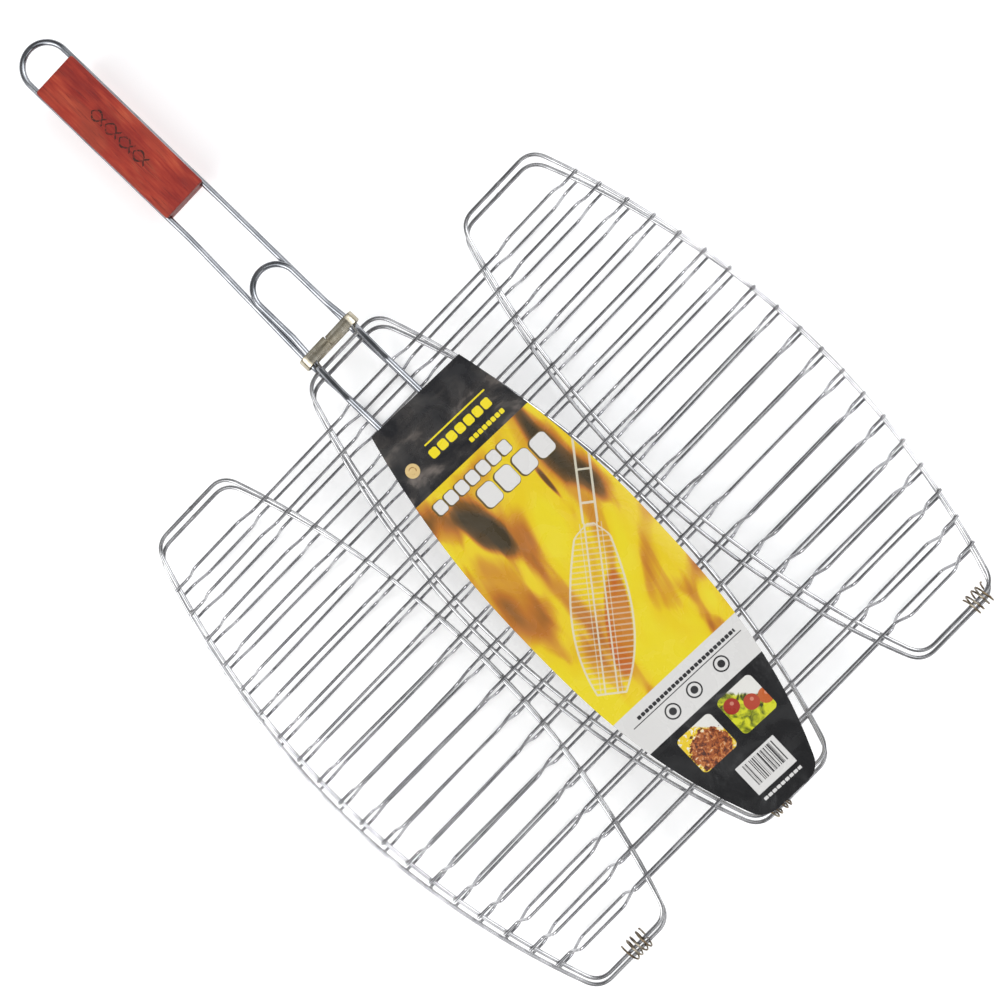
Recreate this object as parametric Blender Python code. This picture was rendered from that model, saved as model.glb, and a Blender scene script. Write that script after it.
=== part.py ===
"""A wire grill basket for three fish, lying closed on its lower half.

Two halves of chromed wire, each of three leaf-shaped lobes under crossing bars, are
joined at the far end by loose coil springs and held shut at the handle by a sliding
clasp. The long handle with the wooden grip belongs to the lower half, the short
handle to the upper half, and a printed card lies on the middle lobe.

Metres, +Z up, +Y along the handle, X across the lobes. The origin is under the
middle of the whole object, on the surface that it lies on.
"""

import math

import bpy
from mathutils import Matrix, Vector

GAP = 0.0003  # clear space between pieces that touch

# Levels, measured from the plane between the two halves
MID_Z = 0.0265
FRAME_Z = 0.0023
FRAME_R = 0.0013
BAR_R = 0.0010
ROD_R = 0.0020
BULGE = 0.0163
BAR_Z = FRAME_Z + FRAME_R + GAP + BAR_R
RAISED_Z = BAR_Z + BULGE
ROD_RAISED_Z = RAISED_Z + BAR_R + GAP + ROD_R
ROD_Z = ROD_R + 0.5 * GAP

# Lobes, seen from above
LOBE_LENGTH = 0.385
END_HALF = 0.0300
UPPER_HALF_WIDTH = 0.0625
LOWER_HALF_WIDTH = 0.0660
CORNER_CUT = 0.0100
NEAR_PITCH = 0.1365
FAR_PITCH = 0.1420
LOBES = {"left": -1, "middle": 0, "right": 1}

# The halves sit a little out of line, as loose springs allow
HALVES_SHIFT = 0.0043
UPPER_NEAR_Y = 0.0626
LOWER_NEAR_Y = UPPER_NEAR_Y - HALVES_SHIFT
UPPER_X = 0.0028
LOWER_X = 0.0

# Cross bars, from the lobes' near end
FIRST_BAR = 0.0290
SECOND_BAR = 0.0447
BAR_PITCH = 0.01844
BARS = 19
BAR_OVERHANG = 0.0006
LEVEL_RUN = 0.0110
SLOPE_RUN = 0.0085

# Handles, from the upper lobes' near end
LOOP_TIP = 0.2660
SHORT_TIP = 0.0690
LOOP_HALF = 0.0152
SHORT_HALF = 0.0148
WELDED_HALF = 0.0168
ROD_END = -0.1030
RAMP_END = 0.0260
ROD_BEND = 0.0016
CLASP_SIDE = 0.0043
CLASP_PAST = 0.0150
SHORT_TAPER = 0.0010
RISER_RUN = 0.0040
RISER_Z = 0.0093
SPREAD_START = 0.1150

# Wooden grip
GRIP_NEAR = 0.1324
GRIP_FAR = 0.2433
GRIP_HALF_WIDTH = 0.0160
GRIP_HALF_DEPTH = 0.0053
GRIP_EDGE = 0.0010
GRIP_END_SCALE = 0.94
GROOVE_R = ROD_R + GAP

# Sliding clasp: a strip of sheet bent into a flat ring
CLASP_X = 0.0016
CLASP_Y = UPPER_NEAR_Y + 0.0090
CLASP_LENGTH = 0.0072
CLASP_ARC_X = 0.0164
CLASP_OUTER_R = 0.0060
CLASP_SHEET = 0.0009
CLASP_SEAM = 0.0005
CLASP_SKEW = 0.0005

# Hinge springs, on the end wires
SPRING_WIRE_R = 0.0006
SPRING_R = 0.0064
SPRING_TURNS = 4
SPRING_LENGTH = 0.0155
SPRING_BACK = 0.0007
SPRING_OFFSET = {"left": 0.0066, "middle": -0.0120, "right": 0.0205}

# Printed card, along its own middle line, which lies a little askew
CARD_NEAR = 0.0540
CARD_WIDEST = 0.1950
CARD_FAR = 0.3830
CARD_HALF_NEAR = 0.0360
CARD_HALF_WIDE = 0.0535
CARD_HALF_FAR = 0.0215
CARD_PIVOT = 0.2150
CARD_PIVOT_X = 0.0045
CARD_TURN = math.radians(2.8)
CARD_CORNER_BACK = 0.0080
CARD_CORNER_IN = 0.0100
CARD_CORNER_OUT = 0.0010
CARD_SHEET = 0.0005
CARD_SLOPE_START = -ROD_END

SIX_SIDES = 1
EIGHT_SIDES = 2

# Colour, metallic, roughness
CHROME = ((0.78, 0.78, 0.79), 1.0, 0.14)
SPRING_STEEL = ((0.22, 0.17, 0.12), 1.0, 0.32)
CLASP_NICKEL = ((0.36, 0.33, 0.27), 1.0, 0.30)
STAINED_WOOD = ((0.38, 0.055, 0.040), 0.0, 0.55)
PRINTED_CARD = ((0.90, 0.66, 0.02), 0.0, 0.35)


def clear_scene():
    for obj in list(bpy.data.objects):
        bpy.data.objects.remove(obj, do_unlink=True)


def make_material(name, finish):
    colour, metallic, roughness = finish
    material = bpy.data.materials.new(name)
    material.use_nodes = True
    shader = material.node_tree.nodes["Principled BSDF"]
    shader.inputs["Base Color"].default_value = (*colour, 1.0)
    shader.inputs["Metallic"].default_value = metallic
    shader.inputs["Roughness"].default_value = roughness
    return material


def link(name, data, material, parent=None):
    data.materials.append(material)
    obj = bpy.data.objects.new(name, data)
    bpy.context.scene.collection.objects.link(obj)
    if parent is not None:
        obj.parent = parent
        obj.matrix_parent_inverse = Matrix.Translation(-parent.location)
    return obj


def add_pivot(name, location):
    pivot = bpy.data.objects.new(name, None)
    pivot.location = location
    pivot.empty_display_size = 0.02
    bpy.context.scene.collection.objects.link(pivot)
    return pivot


def add_tube(name, points, radius, sides, material, parent=None, closed=False):
    """A round wire along the points, open with flat ends or closed on itself."""
    curve = bpy.data.curves.new(name, "CURVE")
    curve.dimensions = "3D"
    curve.bevel_depth = radius
    curve.bevel_resolution = sides
    curve.use_fill_caps = not closed
    spline = curve.splines.new("POLY")
    spline.points.add(len(points) - 1)
    for spot, point in zip(spline.points, points):
        spot.co = (*point, 1.0)
    spline.use_cyclic_u = closed
    spline.use_smooth = True
    return link(name, curve, material, parent)


def add_mesh(name, points, faces, material, parent=None):
    mesh = bpy.data.meshes.new(name)
    mesh.from_pydata(points, [], faces)
    mesh.update()
    return link(name, mesh, material, parent)


def bent(start, corner, end, steps):
    """Points along a smooth bend from start to end that turns at corner."""
    curve = []
    for step in range(steps + 1):
        t = step / steps
        curve.append(start * (1 - t) ** 2 + corner * 2 * t * (1 - t) + end * t ** 2)
    return curve


def rounded_path(points, cut, steps):
    """The path through the points, with each inner corner turned into a bend."""
    path = [points[0]]
    for before, corner, after in zip(points, points[1:], points[2:]):
        back = (before - corner).normalized() * cut
        ahead = (after - corner).normalized() * cut
        path += bent(corner + back, corner, corner + ahead, steps)
    path.append(points[-1])
    return path


def half_width(along, widest):
    """Half a lobe's width, at a distance along it from its near end."""
    half_length = 0.5 * LOBE_LENGTH
    sagitta = widest - END_HALF
    radius = (half_length ** 2 + sagitta ** 2) / (2 * sagitta)
    return widest - radius + math.sqrt(radius ** 2 - (half_length - along) ** 2)


def lobe_centre(side, along):
    """How far from the middle a lobe's centre line is: the outer lobes splay a little."""
    return side * (NEAR_PITCH + (FAR_PITCH - NEAR_PITCH) * along / LOBE_LENGTH)


def lobe_outline(widest):
    """One lobe's frame, as (across, along) from the middle of its near end."""
    steps = 12
    side = []
    for step in range(steps + 1):
        along = CORNER_CUT + (LOBE_LENGTH - 2 * CORNER_CUT) * step / steps
        side.append(Vector((half_width(along, widest), along)))
    near_start = Vector((END_HALF - CORNER_CUT, 0.0))
    near = bent(near_start, Vector((END_HALF, 0.0)), side[0], 4)
    far_end = Vector((END_HALF - CORNER_CUT, LOBE_LENGTH))
    far = bent(side[-1], Vector((END_HALF, LOBE_LENGTH)), far_end, 4)
    right = near[:-1] + side + far[1:]
    left = [Vector((-point.x, point.y)) for point in reversed(right)]
    return right + left


def add_frame(name, side, half, material, parent):
    """One lobe's outline wire."""
    points = []
    for across, along in lobe_outline(half["width"]):
        x = half["x"] + lobe_centre(side, along) + across
        points.append((x, half["near_y"] - along, MID_Z + half["up"] * FRAME_Z))
    return add_tube(name, points, FRAME_R, SIX_SIDES, material, parent, closed=True)


def bar_along(number):
    if number == 1:
        return FIRST_BAR
    return SECOND_BAR + BAR_PITCH * (number - 2)


def add_bar(name, number, half, material, parent):
    """A wire across all three lobes, raised over the middle of each."""
    along = bar_along(number)
    width = half_width(along, half["width"])
    outer = lobe_centre(1, along) + width + FRAME_R + BAR_OVERHANG
    level = width - LEVEL_RUN
    raised = level - SLOPE_RUN
    profile = [(-outer, BAR_Z)]
    for side in LOBES.values():
        centre = lobe_centre(side, along)
        profile.append((centre - level, BAR_Z))
        profile.append((centre - raised, RAISED_Z))
        profile.append((centre + raised, RAISED_Z))
        profile.append((centre + level, BAR_Z))
    profile.append((outer, BAR_Z))
    y = half["near_y"] - along
    points = [(half["x"] + x, y, MID_Z + half["up"] * z) for x, z in profile]
    return add_tube(name, points, BAR_R, SIX_SIDES, material, parent)


def mirrored_path(side_points, tip):
    """A handle: one rod, the round tip, and the other rod back."""
    other = [Vector((-p.x, p.y, p.z)) for p in reversed(side_points)]
    return side_points + tip + other


def round_tip(half, tip_y, z):
    """The half-circle that joins two rods, up to but without the rods' own ends."""
    steps = 10
    arc = []
    for step in range(1, steps):
        angle = math.pi * step / steps
        y = tip_y - half + half * math.sin(angle)
        arc.append(Vector((half * math.cos(angle), y, z)))
    return arc


def long_handle_points():
    """From the right-hand weld on the lower bars, round the loop, to the left one."""
    near = UPPER_NEAR_Y
    low = -ROD_RAISED_Z
    bends = [
        Vector((WELDED_HALF, near + ROD_END - HALVES_SHIFT, low)),
        Vector((WELDED_HALF, LOWER_NEAR_Y - RAMP_END, low)),
        Vector((WELDED_HALF, near + CLASP_SIDE, -ROD_Z)),
        Vector((WELDED_HALF, near + CLASP_PAST, -ROD_Z)),
    ]
    rod = rounded_path(bends, ROD_BEND, 3)
    rod.append(Vector((LOOP_HALF, near + SPREAD_START, -ROD_Z)))
    rod.append(Vector((LOOP_HALF, near + LOOP_TIP - LOOP_HALF, -ROD_Z)))
    tip = round_tip(LOOP_HALF, near + LOOP_TIP, -ROD_Z)
    points = []
    for point in mirrored_path(rod, tip):
        shift = UPPER_X * min(1.0, max(0.0, (point.y - near) / SPREAD_START))
        points.append(point + Vector((shift, 0.0, MID_Z)))
    return points


def short_handle_points():
    """From the right-hand weld on the upper bars, round the arch, to the left one."""
    near = UPPER_NEAR_Y
    bends = [
        Vector((WELDED_HALF, near + ROD_END, ROD_RAISED_Z)),
        Vector((WELDED_HALF, near - RAMP_END, ROD_RAISED_Z)),
        Vector((WELDED_HALF, near + CLASP_SIDE - RISER_RUN, RISER_Z)),
        Vector((WELDED_HALF, near + CLASP_SIDE, ROD_Z)),
        Vector((SHORT_HALF + SHORT_TAPER, near + CLASP_PAST, ROD_Z)),
    ]
    rod = rounded_path(bends, ROD_BEND, 3)
    rod.append(Vector((SHORT_HALF, near + SHORT_TIP - SHORT_HALF, ROD_Z)))
    tip = round_tip(SHORT_HALF, near + SHORT_TIP, ROD_Z)
    offset = Vector((UPPER_X, 0.0, MID_Z))
    return [point + offset for point in mirrored_path(rod, tip)]


def grip_outline():
    """The grip's section, as (across, up): flat faces, soft edges, a groove each side."""
    edge = GRIP_EDGE
    corner_x = GRIP_HALF_WIDTH
    corner_z = GRIP_HALF_DEPTH
    inset = LOOP_HALF - GRIP_HALF_WIDTH
    half_angle = math.acos(inset / GROOVE_R)
    quarter = [
        (corner_x - edge, -corner_z),
        (corner_x - 0.3 * edge, -corner_z + 0.3 * edge),
        (corner_x, -corner_z + edge),
    ]
    groove = []
    steps = 6
    for step in range(steps + 1):
        angle = math.pi + half_angle - 2 * half_angle * step / steps
        x = LOOP_HALF + GROOVE_R * math.cos(angle)
        groove.append((x, GROOVE_R * math.sin(angle)))
    top = [(x, -z) for x, z in reversed(quarter)]
    right = quarter + groove + top
    left = [(-x, -z) for x, z in right]
    return right + left


def add_grip(name, material):
    """The wooden grip between the rods, with its end edges eased."""
    outline = grip_outline()
    stations = [
        (GRIP_NEAR, GRIP_END_SCALE),
        (GRIP_NEAR + GRIP_EDGE, 1.0),
        (GRIP_FAR - GRIP_EDGE, 1.0),
        (GRIP_FAR, GRIP_END_SCALE),
    ]
    points = []
    for along, scale in stations:
        y = UPPER_NEAR_Y + along
        for x, z in outline:
            points.append((UPPER_X + scale * x, y, MID_Z - ROD_Z + scale * z))
    return add_mesh(name, points, sweep_faces(len(outline), len(stations)), material)


def sweep_faces(around, stations):
    """Faces of a closed sweep: sections in order, each with the same points around."""
    faces = [list(range(around))]
    for station in range(stations - 1):
        first = station * around
        for i in range(around):
            j = (i + 1) % around
            faces.append([first + i, first + around + i, first + around + j, first + j])
    last = (stations - 1) * around
    faces.append([last + i for i in reversed(range(around))])
    return faces


def clasp_path():
    """(point, outward) pairs round the flat ring, from one side of the seam to the other."""
    middle = CLASP_OUTER_R - 0.5 * CLASP_SHEET
    steps = 8
    path = [(Vector((0.5 * CLASP_SEAM, middle)), Vector((0.0, 1.0)))]
    for side in (1, -1):
        for step in range(steps + 1):
            angle = math.radians(90) - math.pi * step / steps
            outward = Vector((math.cos(angle), math.sin(angle))) * side
            path.append((Vector((side * CLASP_ARC_X, 0.0)) + outward * middle, outward))
    path.append((Vector((-0.5 * CLASP_SEAM, middle)), Vector((0.0, 1.0))))
    return path


def add_clasp(name, material):
    """The ring, its origin on the slide's axis, with the strip's ends a little askew."""
    path = clasp_path()
    half_sheet = 0.5 * CLASP_SHEET
    half_length = 0.5 * CLASP_LENGTH
    points = []
    for i, (centre, outward) in enumerate(path):
        skew = CLASP_SKEW * (i / (len(path) - 1) - 0.5)
        for off, y in ((1, -1), (1, 1), (-1, 1), (-1, -1)):
            spot = centre + outward * off * half_sheet
            points.append((spot.x, y * half_length + skew, spot.y))
    faces = sweep_faces(4, len(path))
    clasp = add_mesh(name, points, faces, material)
    clasp.location = (CLASP_X, CLASP_Y, MID_Z)
    return clasp


def add_spring(name, lobe, material):
    """A loose coil round the end wires of both halves."""
    per_turn = 12
    count = SPRING_TURNS * per_turn
    centre_x = LOWER_X + lobe_centre(LOBES[lobe], LOBE_LENGTH) + SPRING_OFFSET[lobe]
    centre_y = UPPER_NEAR_Y - LOBE_LENGTH - SPRING_BACK
    points = []
    for i in range(count + 1):
        angle = 2 * math.pi * i / per_turn
        x = centre_x + SPRING_LENGTH * (i / count - 0.5)
        y = centre_y + SPRING_R * math.cos(angle)
        points.append((x, y, MID_Z + SPRING_R * math.sin(angle)))
    return add_tube(name, points, SPRING_WIRE_R, SIX_SIDES, material)


def card_half_width(along):
    if along < CARD_WIDEST:
        fraction = (CARD_WIDEST - along) / (CARD_WIDEST - CARD_NEAR)
        return CARD_HALF_WIDE - (CARD_HALF_WIDE - CARD_HALF_NEAR) * fraction ** 2
    fraction = (along - CARD_WIDEST) / (CARD_FAR - CARD_WIDEST)
    return CARD_HALF_WIDE - (CARD_HALF_WIDE - CARD_HALF_FAR) * fraction ** 2.7


def turned_on_lobe(across, along):
    """A point of the card as (across, along) on the lobe that it lies on."""
    cos = math.cos(CARD_TURN)
    sin = math.sin(CARD_TURN)
    back = along - CARD_PIVOT
    return CARD_PIVOT_X + across * cos - back * sin, CARD_PIVOT + back * cos + across * sin


def card_level(along):
    """The card's underside: it leans from the short handle's rods to the last bars."""
    high = ROD_RAISED_Z + ROD_R + GAP
    low = RAISED_Z + BAR_R + GAP
    fraction = (along - CARD_SLOPE_START) / (CARD_FAR - CARD_SLOPE_START)
    return high + (low - high) * fraction


def add_card(name, material, parent):
    """A thin leaf-shaped card, cut square at the near end and rounded at the far end."""
    steps = 18
    side_length = CARD_FAR - CARD_CORNER_BACK - CARD_NEAR
    right = []
    for step in range(steps + 1):
        along = CARD_NEAR + side_length * step / steps
        right.append(Vector((card_half_width(along), along)))
    corner = Vector((CARD_HALF_FAR + CARD_CORNER_OUT, CARD_FAR))
    corner_end = Vector((corner.x - CARD_CORNER_IN, CARD_FAR))
    right += bent(right[-1], corner, corner_end, 4)[1:]
    outline = right + [Vector((-point.x, point.y)) for point in reversed(right)]
    points = []
    for lift in (0.0, CARD_SHEET):
        for spot in outline:
            across, along = turned_on_lobe(*spot)
            z = MID_Z + card_level(along) + lift
            points.append((UPPER_X + across, UPPER_NEAR_Y - along, z))
    return add_mesh(name, points, sweep_faces(len(outline), 2), material, parent)


def main():
    clear_scene()
    chrome = {}
    for name in ("upper_wire", "lower_wire", "long_handle", "short_handle"):
        chrome[name] = make_material(name, CHROME)
    spring_steel = make_material("spring_steel", SPRING_STEEL)
    clasp_nickel = make_material("clasp_nickel", CLASP_NICKEL)
    wood = make_material("stained_wood", STAINED_WOOD)
    print_card = make_material("printed_card", PRINTED_CARD)

    hinge_y = UPPER_NEAR_Y - LOBE_LENGTH
    hinge = add_pivot("hinge_axis", (UPPER_X, hinge_y, MID_Z + FRAME_Z))
    halves = {
        "upper": {"up": 1, "x": UPPER_X, "near_y": UPPER_NEAR_Y,
                  "width": UPPER_HALF_WIDTH, "parent": hinge},
        "lower": {"up": -1, "x": LOWER_X, "near_y": LOWER_NEAR_Y,
                  "width": LOWER_HALF_WIDTH, "parent": None},
    }
    for word, half in halves.items():
        wire = chrome[word + "_wire"]
        for lobe, side in LOBES.items():
            add_frame(f"{word}_frame_{lobe}", side, half, wire, half["parent"])
        for number in range(1, BARS + 1):
            add_bar(f"{word}_bar_{number:02d}", number, half, wire, half["parent"])

    add_tube("long_handle", long_handle_points(), ROD_R, EIGHT_SIDES,
             chrome["long_handle"])
    add_tube("short_handle", short_handle_points(), ROD_R, EIGHT_SIDES,
             chrome["short_handle"], hinge)
    add_grip("wood_grip", wood)
    add_clasp("slide_clasp", clasp_nickel)
    for lobe in LOBES:
        add_spring(f"hinge_spring_{lobe}", lobe, spring_steel)
    add_card("printed_card", print_card, hinge)


main()
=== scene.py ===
"""Looks for the wire grill basket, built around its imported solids.

Each wire is swept again as a smooth round wire along the route of its solid, with weld
spots where wires cross, heat tints beside the welds and the small waviness of hand-bent
wire. The grip, the clasp, the springs and the card are made again in finer detail.

Metres, +Z up, +Y along the handle, X across the lobes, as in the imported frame.
"""

import math

import bpy
import numpy as np
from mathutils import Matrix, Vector

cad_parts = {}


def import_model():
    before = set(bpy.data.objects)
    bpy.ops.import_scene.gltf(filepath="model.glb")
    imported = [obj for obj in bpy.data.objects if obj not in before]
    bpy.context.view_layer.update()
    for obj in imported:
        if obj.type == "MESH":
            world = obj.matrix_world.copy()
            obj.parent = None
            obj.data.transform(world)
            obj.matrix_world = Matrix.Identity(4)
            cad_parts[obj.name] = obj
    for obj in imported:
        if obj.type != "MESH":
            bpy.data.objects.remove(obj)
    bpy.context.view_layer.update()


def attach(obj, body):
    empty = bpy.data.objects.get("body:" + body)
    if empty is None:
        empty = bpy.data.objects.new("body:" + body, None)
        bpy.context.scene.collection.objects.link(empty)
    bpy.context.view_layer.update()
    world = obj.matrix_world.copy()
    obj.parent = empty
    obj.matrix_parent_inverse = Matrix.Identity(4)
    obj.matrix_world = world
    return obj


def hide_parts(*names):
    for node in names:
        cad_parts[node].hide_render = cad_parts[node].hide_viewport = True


SEED = 11

# Camera, as the object is seen: from above, the handle towards the upper left
CAMERA_PLACE = (0.0590, -0.0688, 1.0277)
CAMERA_TURN = (-2.375, 2.081, -46.211)
CAMERA_LENS = 58.86

# Studio
BANNER_LIGHT = 1.7
DIM_SKY = 0.23
FLOOR_R = 3.0
FLOOR_Z = -0.0004

# Levels, from the plane between the halves
MID_Z = 0.0265
FRAME_Z = 0.0023
FRAME_R = 0.0013
BAR_R = 0.0010
ROD_R = 0.0020
BAR_Z = 0.0049
RAISED_Z = 0.0212
ROD_RAISED_Z = 0.0245
ROD_Z = 0.00215

# Lobes
LOBE_LENGTH = 0.385
FRAME_SWAY = 0.00022
FLASH_X = 0.0012
FLASH_REACH = 0.0008
FLASH_RISE = 0.16
END_HALF = 0.0300
CORNER_CUT = 0.0100
NEAR_PITCH = 0.1365
FAR_PITCH = 0.1420
LOBES = {"left": -1, "middle": 0, "right": 1}
HALVES_SHIFT = 0.0043
NEAR_Y = 0.0626
UPPER_X = 0.0028
HALVES = {
    "upper": {"up": 1, "x": UPPER_X, "near_y": NEAR_Y, "width": 0.0625},
    "lower": {"up": -1, "x": 0.0, "near_y": NEAR_Y - HALVES_SHIFT, "width": 0.0660},
}

# Cross bars
FIRST_BAR = 0.0290
SECOND_BAR = 0.0447
BAR_PITCH = 0.01844
BARS = 19
BAR_OVERHANG = 0.0006
LEVEL_RUN = 0.0110
SLOPE_RUN = 0.0085
BAR_BEND = 0.0034

# Waves of a bar: size, shortest and longest period
BAR_SWAY = (0.0007, 0.16, 0.42)
BAR_RIPPLE = (0.0002, 0.05, 0.16)

# Weld beads: half-sizes across, along and up
BAR_WELD = (0.00155, 0.00145, 0.00075)
ROD_WELD = (0.0020, 0.0015, 0.0009)

# Handles
LOOP_TIP = 0.2660
SHORT_TIP = 0.0690
LOOP_HALF = 0.0152
SHORT_HALF = 0.0148
WELDED_HALF = 0.0168
ROD_END = -0.1030
RAMP_END = 0.0260
ROD_BEND = 0.0030
CLASP_SIDE = 0.0043
CLASP_PAST = 0.0150
SHORT_TAPER = 0.0010
RISER_RUN = 0.0040
RISER_Z = 0.0093
SPREAD_START = 0.1150
SPREAD_RUN = 0.0040
SHORT_SPREAD = 0.0120
WELDED_BARS = 5

# Wooden grip
GRIP_NEAR = 0.1324
GRIP_FAR = 0.2433
GRIP_HALF_WIDTH = 0.0160
GRIP_HALF_DEPTH = 0.0053
GRIP_EDGE = 0.0009
GROOVE_R = 0.0023

# Fish burnt into the grip
FISH_PITCH = 0.0118
FISH_EACH_WAY = 2
FISH_NOSE = 0.0048
FISH_STROKE = 0.0007

# Sliding clasp
CLASP_X = 0.0016
CLASP_Y = NEAR_Y + 0.0090
CLASP_LENGTH = 0.0072
CLASP_ARC_X = 0.0164
CLASP_OUTER_R = 0.0060
CLASP_SHEET = 0.0009
CLASP_SEAM = 0.0005
CLASP_SKEW = 0.0010
CLASP_HOLLOW = 0.00028

# Hinge springs
SPRING_WIRE_R = 0.0006
SPRING_R = 0.0064
SPRING_TURNS = 4
SPRING_LENGTH = 0.0155
SPRING_BACK = 0.0007
SPRING_OFFSET = {"left": 0.0066, "middle": -0.0120, "right": 0.0205}

# Printed card
CARD_NEAR = 0.0540
CARD_WIDEST = 0.1950
CARD_FAR = 0.3830
CARD_HALF_NEAR = 0.0360
CARD_HALF_WIDE = 0.0535
CARD_HALF_FAR = 0.0215
CARD_PIVOT = 0.2150
CARD_PIVOT_X = 0.0045
CARD_TURN = math.radians(2.8)
CARD_CORNER_BACK = 0.0080
CARD_SHEET = 0.0005
CARD_TAPER = 2.7
CARD_CORNER_IN = 0.0085
CARD_CLEAR = 0.0003
CARD_WAVE = 0.0007
CARD_CURL = 2.0
CARD_CURL_FROM = 0.0300

# What is printed on the card, as (across, along) places and half-sizes
PRINT_EDGE = 0.0002
FIRE_STARTS = 0.1031
BAND_STARTS = 0.2790
FOOT_STARTS = 0.3069
PRINT_YELLOW = (0.76, 0.62, 0.012)
PRINT_WHITE = (0.62, 0.61, 0.60)
PRINT_INK = (0.02, 0.02, 0.022)
PLATE_WHITE = (0.66, 0.65, 0.62)
CARD_BACK = (0.62, 0.60, 0.56)
SEAL_PLACE = (-0.0320, 0.0857)
SEAL_RADIUS = 0.0045
STAMP_RADIUS = 0.0022
STAMP_STROKE = 0.0003
RING_PLACES = ((0.0229, 0.2960), (0.0005, 0.2965), (-0.0177, 0.2972))
RING_RADIUS = 0.0046
RING_STROKE = 0.0005
RING_DOT = 0.0012
SALAD_PLACE = (0.0174, 0.3243)
STEAK_PLACE = (-0.0160, 0.3252)
PICTURE_HALF = (0.0135, 0.0133)
PICTURE_CORNER = 0.0032
LABEL = ((0.0006, 0.3589), (0.0154, 0.0107))
LABEL_STRIPES = ((0.0012, 0.3575), (0.0118, 0.0076))
BAND_RULE = ((0.0015, 0.2892), (0.0437, 0.0003))

# Rows of plain blocks: middle, half-size, pitch, where a pitch of 0 is one rule
HEADER_ROWS = (
    ((0.0080, 0.0797), (0.0245, 0.0005), 0),
    ((0.0060, 0.0865), (0.0245, 0.0030), 0.0071),
    ((0.0190, 0.0962), (0.0140, 0.0015), 0.0035),
)
FIRE_ROWS = (
    ((-0.0090, 0.1130), (0.0300, 0.0040), 0.0087),
    ((0.0130, 0.1275), (0.0280, 0.0070), 0.0143),
)
FIRE_ROW_RIM = 0.0005
BAND_ROW = ((0.0030, 0.2862), (0.0395, 0.0012), 0.0031)
FOOT_ROW = ((0.0006, 0.3737), (0.0150, 0.0010), 0.0034)

# Tomatoes in the salad: place and colour
TOMATOES = (
    ((0.0123, 0.0036), (0.45, 0.100, 0.020)),
    ((-0.0075, -0.0052), (0.30, 0.020, 0.010)),
    ((0.0032, 0.0008), (0.38, 0.045, 0.018)),
)
TOMATO_RADIUS = 0.0050
GLINT = 0.0012

# The drawn basket: its near end, the way it points and its length
DRAWN_PLACE = (0.0239, 0.1808)
DRAWN_WAY = (-0.589, 0.809)
DRAWN_LENGTH = 0.104

# Darker gaps between the printed flames: (across, along), half-sizes, depth
FLAME_GAPS = (
    ((-0.0430, 0.1240), (0.0150, 0.0180), 0.13),
    ((-0.0250, 0.1370), (0.0080, 0.0260), 0.24),
    ((0.0420, 0.1420), (0.0110, 0.0380), 0.16),
    ((0.0210, 0.1440), (0.0028, 0.0120), 0.20),
    ((-0.0420, 0.1800), (0.0140, 0.0420), 0.08),
    ((-0.0180, 0.2150), (0.0090, 0.0400), 0.065),
    ((-0.0330, 0.2550), (0.0100, 0.0300), 0.075),
    ((0.0300, 0.2560), (0.0100, 0.0240), 0.07),
)

X_AXIS = np.array([1.0, 0.0, 0.0])
Y_AXIS = np.array([0.0, 1.0, 0.0])
Z_AXIS = np.array([0.0, 0.0, 1.0])


# Meshes


class Pile:
    """Wires and spots gathered into one mesh, with how heat-tinted each point is."""

    def __init__(self):
        self.points = []
        self.faces = []
        self.heat = []
        self.count = 0

    def add(self, points, faces, heat):
        self.points.append(points)
        self.faces += [[self.count + i for i in face] for face in faces]
        self.heat.append(heat)
        self.count += len(points)

    def build(self, name, material):
        points = np.concatenate(self.points)
        obj = build_mesh(name, points.tolist(), self.faces, material)
        heat = obj.data.attributes.new("heat", "FLOAT", "POINT")
        heat.data.foreach_set("value", np.concatenate(self.heat).astype(np.float32))
        return obj


def build_mesh(name, points, faces, material):
    mesh = bpy.data.meshes.new(name)
    mesh.from_pydata(points, [], faces)
    mesh.update()
    mesh.shade_smooth()
    mesh.materials.append(material)
    obj = bpy.data.objects.new(name, mesh)
    bpy.context.scene.collection.objects.link(obj)
    return obj


def hand_over(obj, body, slot, *nodes):
    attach(obj, body)
    if nodes:
        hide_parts(*nodes)


def ring_faces(rings, around, closed):
    faces = []
    for ring in range(rings if closed else rings - 1):
        first = ring * around
        second = (ring + 1) % rings * around
        for i in range(around):
            j = (i + 1) % around
            faces.append([first + i, first + j, second + j, second + i])
    if not closed:
        last = (rings - 1) * around
        faces.append(list(reversed(range(around))))
        faces.append([last + i for i in range(around)])
    return faces


def unit(vectors):
    return vectors / np.linalg.norm(vectors, axis=-1, keepdims=True)


def sweep(pile, path, radii, sides, reference, closed=False, hot_spots=(), reach=0.004):
    """A round wire along the path, whose section is turned by the reference direction."""
    if closed:
        run = np.roll(path, -1, axis=0) - np.roll(path, 1, axis=0)
    else:
        run = np.gradient(path, axis=0)
    run = unit(run)
    across = unit(np.cross(run, reference))
    outward = np.cross(across, run)
    angles = 2 * math.pi * np.arange(sides) / sides
    cos = np.cos(angles)[None, :, None]
    sin = np.sin(angles)[None, :, None]
    circle = cos * across[:, None, :] + sin * outward[:, None, :]
    points = (path[:, None, :] + radii[:, None, None] * circle).reshape(-1, 3)
    heat = np.repeat(heat_along(path, hot_spots, reach), sides)
    pile.add(points, ring_faces(len(path), sides, closed), heat)


def heat_along(path, hot_spots, reach):
    heat = np.zeros(len(path))
    for spot in hot_spots:
        away = np.linalg.norm(path - np.asarray(spot), axis=1)
        heat = np.maximum(heat, np.exp(-((away / reach) ** 2)))
    return heat


def bend(start, corner, end, steps):
    t = np.linspace(0.0, 1.0, steps + 1)[:, None]
    return start * (1 - t) ** 2 + corner * 2 * t * (1 - t) + end * t ** 2


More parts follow.
